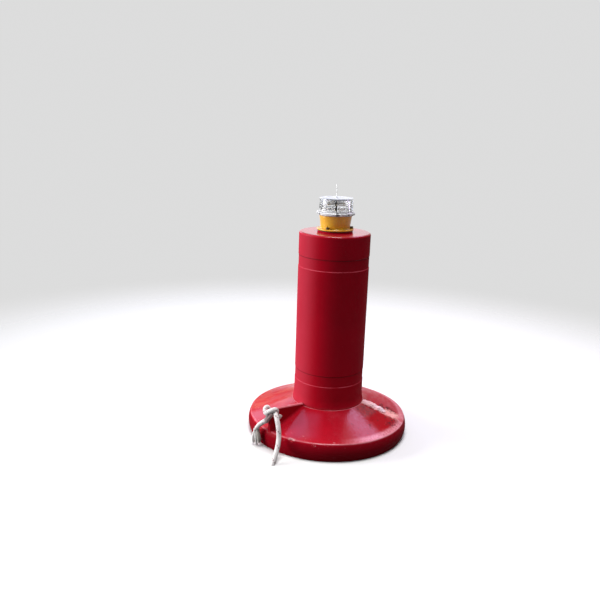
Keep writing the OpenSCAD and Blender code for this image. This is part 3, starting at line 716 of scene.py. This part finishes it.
def redMoulding(name, dirty=1.0, worn=1.0, wave=1.0, shine=0.62, scarred=False, grooved=False, crestHighlight=False):
    # red plastic, the same for float, column, lugs and tail, with each one's own wear
    f = Finish(name, gloss=0.0, ior=1.5, coatRough=0.17)
    spot = f.place()
    x, y, height = f.part(spot, "X"), f.part(spot, "Y"), f.part(spot, "Z")
    far = f.calc("SQRT", x * x + y * y)
    colour = f.mix(f.step(f.noise(3.2, 4, 0.6), 0.38, 0.68), redLook["fresh"], redLook["deep"])
    upward = f.step(f.facingUp(), 0.45, 0.90)
    faded = f.step(f.noise(6.5, 5, 0.65), 0.48, 0.8) * (0.15 + upward * 0.85) * 0.5
    colour = f.mix(faded, colour, redLook["faded"])
    runs = f.step(f.noise(1.0, 4, 0.6, f.place((34, 34, 2.2))), 0.56, 0.74) * (1 - upward) * (0.35 * dirty)
    colour = f.mix(runs, colour, redLook["deep"])
    across = f.noise(1.0, 3, 0.6, f.place((14, 160, 160), turn=(0.2, -0.4, 0.8)))
    scratches = f.step(across, 0.72, 0.77) * f.step(f.noise(7, 3), 0.50, 0.66)
    flecks = f.step(f.noise(230, 2, 0.5, f.place(shift=(2, 7, 3))), 0.70, 0.76) * f.step(f.noise(6, 3), 0.5, 0.68)
    scuffs = f.most(scratches * 0.4, flecks * 0.5) * worn
    specks = f.step(f.noise(190, 2, 0.6), 0.67, 0.74) * f.step(f.noise(8, 3, 0.6), 0.46, 0.68)
    film = f.step(f.noise(17, 6, 0.72), 0.56, 0.82)
    polish = upward * shine
    if scarred:
        colour, polish, scuffs, specks, film = deckWear(f, (x, y, height, far), upward, worn,
                                                        colour, polish, scuffs, specks, film)
    colour = f.mix(scuffs, colour, redLook["scuff"])
    dirtAndShade = (specks * 0.75 + film * 0.18) * (0.08 + upward * 0.92) * dirty
    if crestHighlight:
        # painted highlight on the lug's upward faces
        colour = f.mix(upward * (0.25 + f.step(f.noise(35, 4, 0.6), 0.3, 0.7) * 0.3), colour, redLook["rim"])
    # on the column: painted shade and highlights at the tape bands, a painted sheen on its left side and painted
    # shade on its top face
    if grooved:
        # painted shade in the tape bands' upper corners, carried with the dirt
        for z in redLook["shadedCorners"]:
            dirtAndShade = f.most(dirtAndShade, f.between(height, z - 0.0016, z + 0.0012, 0.0008) * (0.35 + f.noise(30, 4) * 0.5))
        # painted highlight on the tape bands' lower ledges
        for z in redLook["litLedges"]:
            paintedLight = f.between(height, z - 0.0030, z + 0.0002, 0.0006) * f.step(f.noise(12, 4, 0.6), 0.25, 0.60)
            colour = f.mix(paintedLight * 0.55, colour, redLook["paintedLight"])
        # painted sheen on the column's left side, in the faded colour
        paintedLeftSheen = f.step(x, *redLook["paintedLeftSheen"]) * (0.55 + f.noise(9, 4, 0.6) * 0.4)
        colour = f.mix(paintedLeftSheen * (1 - upward), colour, redLook["faded"])
        # painted shade on the column's top face
        colour = f.mix(upward * 0.45, colour, redLook["top"])
    colour = f.mix(dirtAndShade, colour, redLook["dirtAndShade"])
    # growth at the waterline and below
    edge = height + (f.noise(14, 5, 0.65) - 0.5) * 0.035
    slime = f.step(edge, *redLook["slimeFrom"]) * f.step(f.noise(24, 6, 0.7), 0.30, 0.62)
    colour = f.mix(slime * 0.8, colour, redLook["slime"])
    shells = f.step(f.cells(70), 0.30, 0.18) * f.step(f.noise(5, 2), 0.5, 0.62)
    shells = shells * f.step(edge, *redLook["shellsFrom"])
    colour = f.mix(shells * 0.8, colour, redLook["chalk"])
    wet = f.step(edge, *redLook["wetFrom"])
    rough = (redLook["rough"] + f.noise(5, 3) * 0.10 + dirtAndShade * 0.45 + scuffs * 0.3 + slime * 0.4
             + shells * 0.4 - wet * 0.05)
    waves = f.bump(f.noise(7.5, 2, 0.4), 0.006 * wave, 0.5)
    skin = f.bump(f.noise(190, 3, 0.6) * upward, 0.0008, 0.5, waves)
    marks = f.bump(specks * dirty * 0.5 - scuffs + shells * 2.0, 0.0004, 0.8, skin)
    return f.wear(colour=colour, rough=rough, normal=marks, coat=polish * (1 - dirtAndShade * 0.7) + 0.04)


dress(redMoulding("floatRed", scarred=True), "float_hull")
dress(redMoulding("columnRed", dirty=0.45, worn=0.45, wave=0.3, shine=0.92, grooved=True), "column")
dress(redMoulding("lugRed", dirty=0.8, worn=1.0, wave=0.4, shine=0.12, crestHighlight=True), "lug_front", "lug_rear")
dress(redMoulding("tailRed", dirty=0.8, worn=0.6, wave=0.5, shine=0.2), "tail_tube")


tornLook = {
    "raw": (0.93, 0.40, 0.43),
    "white": (0.96, 0.72, 0.80),
    "bruised": (0.74, 0.34, 0.36),
    "foot": (0.92, 0.52, 0.52),
    "outerRaw": (0.86, 0.36, 0.35),
    "outerWhite": (0.92, 0.58, 0.55),
    "end": (0.58, 0.11, 0.14),
    "crack": (0.16, 0.02, 0.025),
    # distances from the axis over which a tint comes in
    "footFrom": (0.232, 0.205),
    "outerFrom": (0.254, 0.266),
    "endFrom": (0.300, 0.326),
}


def tornPlastic():
    f = Finish("tornPlastic", gloss=0.3)
    spot, a, (away, seat) = f.place(), math.radians(stump["angle"]), stump["seat"]
    out = f.part(spot, "X") * math.cos(a) + f.part(spot, "Y") * math.sin(a)
    rise = f.part(spot, "Z") - seat + (out - away) * math.tan(math.radians(stump["slope"]))
    white = f.step(f.noise(55, 5, 0.7), 0.30, 0.56) * f.step(rise + (f.noise(40, 3) - 0.5) * 0.012, 0.001, 0.010)
    colour = f.mix(white, tornLook["raw"], tornLook["white"])
    bruised = f.step(f.noise(24, 3, 0.6, f.place(shift=(4, 2, 1))), 0.60, 0.72)
    colour = f.mix(bruised * 0.5, colour, tornLook["bruised"])
    colour = f.mix(f.step(out, *tornLook["footFrom"]) * 0.55, colour, tornLook["foot"])
    outer = f.mix(white, tornLook["outerRaw"], tornLook["outerWhite"])
    colour = f.mix(f.step(out, *tornLook["outerFrom"]) * 0.8, colour, outer)
    colour = f.mix(f.step(out, *tornLook["endFrom"]), colour, tornLook["end"])
    cracks = f.step(f.cells(80, "DISTANCE_TO_EDGE"), 0.035, 0.010) * f.step(f.noise(20), 0.5, 0.62)
    colour = f.mix(cracks * 0.7, colour, tornLook["crack"])
    return f.wear(colour=colour, rough=0.5 + f.noise(80) * 0.2,
                  normal=f.bump(f.noise(150, 5, 0.7) - cracks, 0.0008, 0.7))


dress(tornPlastic(), "lug_stump", ridge)


metalLook = {
    "tar": (0.045, 0.040, 0.038),
    "rust": (0.19, 0.062, 0.022),
    "lime": (0.30, 0.27, 0.20),
    # colour and roughness of each steel
    "darkSteel": ((0.13, 0.095, 0.055), 0.45),
    "brightSteel": ((0.78, 0.79, 0.80), 0.16),
    "galvanisedSteel": ((0.50, 0.51, 0.52), 0.42),
    "stain": (0.24, 0.15, 0.09),
    "spangle": 120,  # scale of the steels' crystals
    "shade": 0.86,  # of the darkest crystal
}


def ballastIron():
    f = Finish("ballastIron", gloss=0.4)
    rust = f.step(f.noise(22, 6, 0.7), 0.46, 0.66)
    colour = f.mix(rust, metalLook["tar"], metalLook["rust"])
    pale = f.step(f.noise(60, 4, 0.7), 0.62, 0.75)
    colour = f.mix(pale * 0.5, colour, metalLook["lime"])
    return f.wear(colour=colour, rough=0.62 + rust * 0.25, normal=f.bump(f.noise(150, 6, 0.7), 0.0009, 0.9))


def steel(name):
    f = Finish(name)
    base, rough = metalLook[name]
    crystals = {"Vector": f.place(), "Scale": metalLook["spangle"]}
    spangle = f.part(f.node("ShaderNodeTexVoronoi", None, crystals, "Color"), "X")
    tint = f.mix(spangle, tuple(metalLook["shade"] * c for c in base), base)
    stain = f.step(f.noise(35, 6, 0.7), 0.55, 0.78)
    tint = f.mix(stain * 0.6, tint, metalLook["stain"])
    return f.wear(colour=tint, metal=0.95 - stain * 0.6, rough=rough + spangle * 0.12 + stain * 0.25,
                  normal=f.bump(f.noise(260, 4, 0.6), 0.0003, 0.6))


dress(ballastIron(), "ballast_plates")
dress(steel("galvanisedSteel"), "base_plate", "tie_bolts", "shackle_bow", "shackle_pin")
dress(steel("darkSteel"), "lantern_screws")
dress(steel("brightSteel"), "bird_spike", cotter)

lanternLook = {
    "amber": ((0.84, 0.48, 0.030), (0.76, 0.38, 0.020)),
    "grime": (0.26, 0.13, 0.03),
    "pits": (0.14, 0.08, 0.03),
    # clean and dusty rubber
    "blackRubber": ((0.014, 0.014, 0.014), (0.075, 0.068, 0.060)),
    "bleachedRubber": ((0.52, 0.50, 0.47), (0.40, 0.37, 0.33)),
    "paleDeck": ((0.74, 0.75, 0.74), (0.62, 0.62, 0.60)),
    "post": (0.018, 0.017, 0.018),
    "board": (0.30, 0.20, 0.11),
    "boardRing": (0.62, 0.55, 0.42),
    "soot": (0.05, 0.04, 0.035),
    "postEdge": (0.0050, 0.0056),  # radii over which the board begins
    "ringAt": 0.026,  # radius of the pale ring on the board
    "cells": ((0.030, 0.040, 0.12), (0.07, 0.08, 0.19)),
    "wires": (0.45, 0.46, 0.48),
    "cellGap": (0.55, 0.56, 0.58),
    "panelEdge": (0.42, 0.42, 0.48),
    "cellWidth": 0.0262,
    "wireStep": 0.0011,  # half the distance from wire to wire
}


def amberMoulding():
    f = Finish("amberMoulding", gloss=0.42)
    patch = f.step(f.noise(26, 4, 0.6), 0.35, 0.7)
    colour = f.mix(patch, *lanternLook["amber"])
    grime = f.step(f.noise(1.0, 4, 0.65, f.place((70, 70, 14))), 0.52, 0.78)
    colour = f.mix(grime * 0.30, colour, lanternLook["grime"])
    pits = f.step(f.noise(300, 2), 0.68, 0.75)
    colour = f.mix(pits * 0.4, colour, lanternLook["pits"])
    return f.wear(colour=colour, rough=0.26 + grime * 0.25,
                  normal=f.bump(f.noise(500, 2) + patch * 0.2, 0.0001, 0.5))


def rubber(name):
    f = Finish(name, gloss=0.3)
    dust = f.step(f.noise(120, 5, 0.7), 0.45, 0.8)
    return f.wear(colour=f.mix(dust, *lanternLook[name]), rough=0.7 + dust * 0.15,
                  normal=f.bump(f.noise(600, 2), 0.0001, 0.5))


lens = {
    "foot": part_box("lantern_lens")[0][2],
    "top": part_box("lantern_lens")[1][2],
    "notches": 22,  # of the clamp ring, all round
    # heights above the foot, from and to, and the softness of the ends
    "notchHeight": (0.0010, 0.0085, 0.0008),
    "hemHighlightHeight": (0.0140, 0.0175, 0.0012),
    "claspTurn": (-90, -82, 0.010),  # as the turns in deckMarks
    "claspFrom": (0.0140, 0.0125),
    "ringFrom": (0.0125, 0.0105),
    "crownFrom": (0.003, 0.0008),  # below the top
    "sideFrom": (0.02, 0.03),
    "clear": ((0.975, 0.985, 0.985), (0.90, 0.91, 0.90)),
    "bloomAndSheen": ((0.40, 0.42, 0.55), (0.74, 0.79, 0.86)),
    "milk": (0.92, 0.92, 0.95),
    "dark": (0.05, 0.05, 0.06),
}


def clearPlastic():
    # clear moulding, weathered to a pale haze on its clamp ring, with a painted reflection on its crown and a
    # painted highlight along its hem
    f = Finish("clearPlastic", through=1.0, ior=1.22, coat=0.35, coatRough=0.05)
    spot = f.place()
    x, y, up = f.part(spot, "X"), f.part(spot, "Y"), f.part(spot, "Z")
    foot, top = lens["foot"], lens["top"]

    def above(name):
        return [foot + h for h in lens[name][:2]] + list(lens[name][2:])

    def below(name):
        return [top - h for h in lens[name]]

    hazeAndReflection = f.step(f.noise(45, 5, 0.65), 0.45, 0.8)
    turned = f.calc("ARCTAN2", y, x)
    # painted shade: dark ticks in the clamp ring's notches and a dark slot at its clasp
    notch = f.calc("PINGPONG", turned, math.pi / lens["notches"])
    ticks = f.step(notch, 0.060, 0.045) * f.between(up, *above("notchHeight"))
    clasp = f.sector(turned, *lens["claspTurn"]) * f.step(up, *above("claspFrom"))
    ticks = f.most(ticks * f.step(f.noise(18, 2), 0.42, 0.56), clasp)
    f.wear(colour=f.mix(ticks * 0.9, f.mix(hazeAndReflection, *lens["clear"]), lens["dark"]), rough=0.02 + hazeAndReflection * 0.10,
           normal=f.bump(f.noise(90, 3), 0.0002, 0.25))
    bloomAndSheen = f.mix(f.step(f.noise(34, 4, 0.7), 0.36, 0.62), *lens["bloomAndSheen"])
    bloomAndSheen = f.mix(f.step(up, *below("sideFrom")), bloomAndSheen, lens["milk"])
    bloomAndSheen = f.mix(ticks * 0.95, bloomAndSheen, lens["dark"])
    milk = f.node("ShaderNodeBsdfPrincipled", None, {"Base Color": bloomAndSheen, "Roughness": 0.3})
    # painted reflection of the sky on the crown
    crown = f.step(up, *below("crownFrom")) * (0.50 + f.step(f.noise(30, 5, 0.7), 0.3, 0.7) * 0.35)
    ring = f.step(up, *above("ringFrom")) * (0.62 + ticks * 0.35)
    # painted highlight along the lens's foot, above the clamp ring
    hemHighlight = f.between(up, *above("hemHighlightHeight")) * 0.45
    f.show(f.join(f.most(f.most(crown, ring), hemHighlight), f.body, milk))
    return f


def palePlastic():
    f = Finish("palePlastic")
    tone = f.noise(40, 4)
    return f.wear(colour=f.mix(tone, *lanternLook["paleDeck"]), rough=0.08 + tone * 0.08)


def lampTower():
    # black post, and a lamp board of bare brown laminate
    f = Finish("darkPlastic")
    spot = f.place()
    x, y = f.part(spot, "X"), f.part(spot, "Y")
    out = f.calc("SQRT", x * x + y * y)
    tone = f.noise(120, 4)
    colour = f.mix(f.step(out, *lanternLook["postEdge"]), lanternLook["post"], lanternLook["board"])
    ring = f.step(abs(out - lanternLook["ringAt"]), 0.0016, 0.0010)
    colour = f.mix(ring, colour, lanternLook["boardRing"])
    colour = f.mix(tone * 0.4, colour, lanternLook["soot"])
    return f.wear(colour=colour, rough=0.42 + tone * 0.15)


def solarCells():
    f = Finish("solarCells", coat=0.8, coatRough=0.08)
    spot = f.place()
    x, y = f.part(spot, "X"), f.part(spot, "Y")
    half = lanternLook["cellWidth"] / 2
    line = f.most(f.step(f.calc("PINGPONG", x, half), 0.0009, 0.0004),
                  f.step(f.calc("PINGPONG", y, half), 0.0009, 0.0004))
    wires = f.step(f.calc("PINGPONG", y, lanternLook["wireStep"]), 0.00022, 0.00012)
    colour = f.mix(f.noise(60, 4), *lanternLook["cells"])
    colour = f.mix(wires * 0.5, colour, lanternLook["wires"])
    colour = f.mix(line, colour, lanternLook["cellGap"])
    edge = f.step(f.facingUp(), 0.6, 0.4)
    return f.wear(colour=f.mix(edge, colour, lanternLook["panelEdge"]), rough=0.3 + line * 0.2)


dress(amberMoulding(), "lantern_base")
dress(rubber("blackRubber"), "lantern_pad")
dress(rubber("bleachedRubber"), "lens_seal")
dress(clearPlastic(), "lantern_lens")
dress(palePlastic(), "lamp_deck")
dress(lampTower(), "led_tower")
dress(solarCells(), "solar_panel")


ropeLook = {
    # fresh and aged colour of each finish
    "braidedRope": ((0.84, 0.80, 0.80), (0.70, 0.65, 0.65)),
    "tailRope": ((0.84, 0.80, 0.80), (0.70, 0.65, 0.65)),
    "looseEnds": ((0.86, 0.83, 0.82), (0.66, 0.62, 0.61)),
    # a darker copy, painted as in shade, for the third bundle
    "shadedGreyRope": ((0.50, 0.47, 0.43), (0.34, 0.31, 0.28)),
    # a darker copy, painted as in shade, for the short end outside the lug
    "shadedRope": ((0.34, 0.23, 0.23), (0.20, 0.11, 0.12)),
    "looseYarn": ((0.82, 0.79, 0.75), (0.62, 0.58, 0.54)),
    "cutYarn": ((0.66, 0.40, 0.36), (0.50, 0.27, 0.25)),
    "grime": (0.27, 0.21, 0.18),
    "tracer": (0.16, 0.06, 0.07),
    "groove": (0.26, 0.21, 0.20),
    "ropeShade": (0.22, 0.16, 0.17),
    "wet": (0.13, 0.12, 0.07),
    "ropeShadeFrom": (0.054, 0.042),  # lengths from the tail's start over which its painted shade ends
    "wetFrom": (0.004, -0.016),
}


def braidedRope(name, braided=True, shadedStart=False):
    f = Finish(name, gloss=0.25, sheen=0.25)
    height = f.part(f.place(), "Z")
    colour = f.mix(f.step(f.noise(42, 4, 0.6), 0.3, 0.75), *ropeLook[name])
    grime = f.step(f.noise(70, 6, 0.7), 0.52, 0.80)
    colour = f.mix(grime * 0.5, colour, ropeLook["grime"])
    yarn = f.noise(900, 2)
    if braided:
        along, turn = f.part(f.map(), "X"), f.part(f.map(), "Y")
        right = (turn + along / rope["lay"]) * rope["strands"]
        left = (turn - along / rope["lay"]) * rope["strands"]
        cover = (f.calc("FLOOR", right) + f.calc("FLOOR", left)) % 2
        tracer = ((right % rope["strands"]) < 1.0) * (1 - cover)
        colour = f.mix(tracer * 0.75, colour, ropeLook["tracer"])
        groove = f.step(right % 1, 0.12, 0.0) + f.step(left % 1, 0.12, 0.0)
        colour = f.mix(groove * 0.40, colour, ropeLook["groove"])
        fibre = f.node("ShaderNodeTexWave", None, {"Vector": f.map(), "Scale": 900.0, "Distortion": 2.0})
        yarn = yarn + fibre * 0.5
        if shadedStart:
            # painted shade on the tail's start beside the knot
            paintedLight = f.step(along + (f.noise(60, 4) - 0.5) * 0.02, *ropeLook["ropeShadeFrom"])
            colour = f.mix(paintedLight * 0.85, colour, ropeLook["ropeShade"])
    wet = f.step(height + (f.noise(30) - 0.5) * 0.03, *ropeLook["wetFrom"])
    colour = f.mix(wet * 0.65, colour, ropeLook["wet"])
    return f.wear(colour=colour, rough=0.85 - wet * 0.3, normal=f.bump(yarn, 0.0003, 0.7))


dress(braidedRope("braidedRope"), ropeHang, ropeKnot, ropeStub, ropeStopper)
dress(braidedRope("tailRope", shadedStart=True), ropeTail)
dress(braidedRope("looseEnds"), tailEnds)
dress(braidedRope("shadedGreyRope"), shadedGreyEnd)
dress(braidedRope("shadedRope"), innerEnd)
dress(braidedRope("looseYarn", braided=False), tailFray)
dress(braidedRope("cutYarn", braided=False), stubFray)
print("finishes made")

studio = {
    "floorRadius": 9,
    "floorTone": 0.80,
    "floorBounce": 0.09,
    "backTone": 0.72,
    "ambient": 0.22,
    "ambientTint": (0.96, 0.98, 1.0),
    "fade": (1.1, 3.2),  # distances over which the floor gives way to the backdrop
    # power, turn and spread, both in degrees, of the lamps that shine from far away
    "sideSun": (4.1, (77, 0, -91.5), 42),
    "topSun": (2.8, (0, 0, 0), 30),
    # place, size, power and tint of the lamps that show in the gloss
    "backLamp": ((-0.45, 3.1, 1.15), (2.0, 0.9), 4.0, (0.90, 0.90, 1.0)),
    "leftLamp": ((-1.57, 2.39, 1.63), (1.1, 0.8), 9, (0.60, 0.68, 1.0)),
    "sheenLamp": ((1.04, 1.75, 2.80), (1.5, 0.85), 18, (0.80, 0.56, 1.0)),
    "glowLamp": ((-0.90, 1.40, 2.72), (0.9, 0.7), 3.0, (0.45, 0.35, 1.0)),
    "aim": (0, 0, 0.35),  # of these lamps
}

floor = newPiece("floor", bpy.ops.mesh.primitive_circle_add, vertices=96, radius=studio["floorRadius"],
                 fill_type="NGON", location=(0, 0, 0))


def floorPale():
    # pale to the eye, to gloss and through glass, darker to the light that bounces off it
    f = Finish("floorPale", rough=0.9, gloss=0.1)
    far = f.node("ShaderNodeVectorMath", {"operation": "LENGTH"}, {0: f.place()}, "Value")
    tone = studio["floorTone"]
    f.wear(colour=f.mix(f.noise(2.0, 3), (tone,) * 3, (tone - 0.02,) * 3))
    dim = f.node("ShaderNodeBsdfDiffuse", None, {0: (studio["floorBounce"],) * 3})
    byRay = f.join(shownRay(f), dim, f.body)
    f.show(f.join(f.step(far, *studio["fade"]), byRay, f.node("ShaderNodeBsdfTransparent")))
    floor.data.materials.append(f.material)


def shownRay(f):
    # 1 for rays that show the surface: to the camera, in gloss and through glass
    seen = f.node("ShaderNodeLightPath", output="Is Camera Ray")
    for kind in ("Is Glossy Ray", "Is Transmission Ray"):
        seen = f.most(seen, f.node("ShaderNodeLightPath", output=kind))
    return seen


floorPale()


def softLamp(name, kind, power, place, turn, **values):
    lamp = bpy.data.lights.new(name, kind)
    lamp.energy = power
    for key, value in values.items():
        setattr(lamp, key, value)
    holder = bpy.data.objects.new(name, lamp)
    scene.collection.objects.link(holder)
    holder.location = place
    holder.rotation_euler = turn
    holder.visible_camera = False


for name in ("sideSun", "topSun"):
    power, turn, spread = studio[name]
    softLamp(name, "SUN", power, (0, 0, 3), [math.radians(a) for a in turn], angle=math.radians(spread))
for name in ("backLamp", "leftLamp", "sheenLamp", "glowLamp"):
    place, (width, height), power, tint = studio[name]
    turn = (Vector(studio["aim"]) - Vector(place)).to_track_quat("-Z", "Y").to_euler()
    softLamp(name, "AREA", power, place, turn, color=tint, shape="RECTANGLE", size=width, size_y=height)


class Air(Finish):  # the world's nodes, made with the same method
    def __init__(self, name):
        world = bpy.data.worlds.new(name)
        scene.world = world
        world.use_nodes = True
        self.tree = world.node_tree
        self.tree.nodes.clear()
        self.out = self.tree.nodes.new("ShaderNodeOutputWorld")


air = Air("studioAir")
felt = air.node("ShaderNodeBackground", None, {"Color": studio["ambientTint"], "Strength": studio["ambient"]})
seen = air.node("ShaderNodeBackground", None, {"Color": (studio["backTone"],) * 3})
air.show(air.join(shownRay(air), felt, seen))
scene.view_settings.view_transform = "Standard"
print("studio lit")
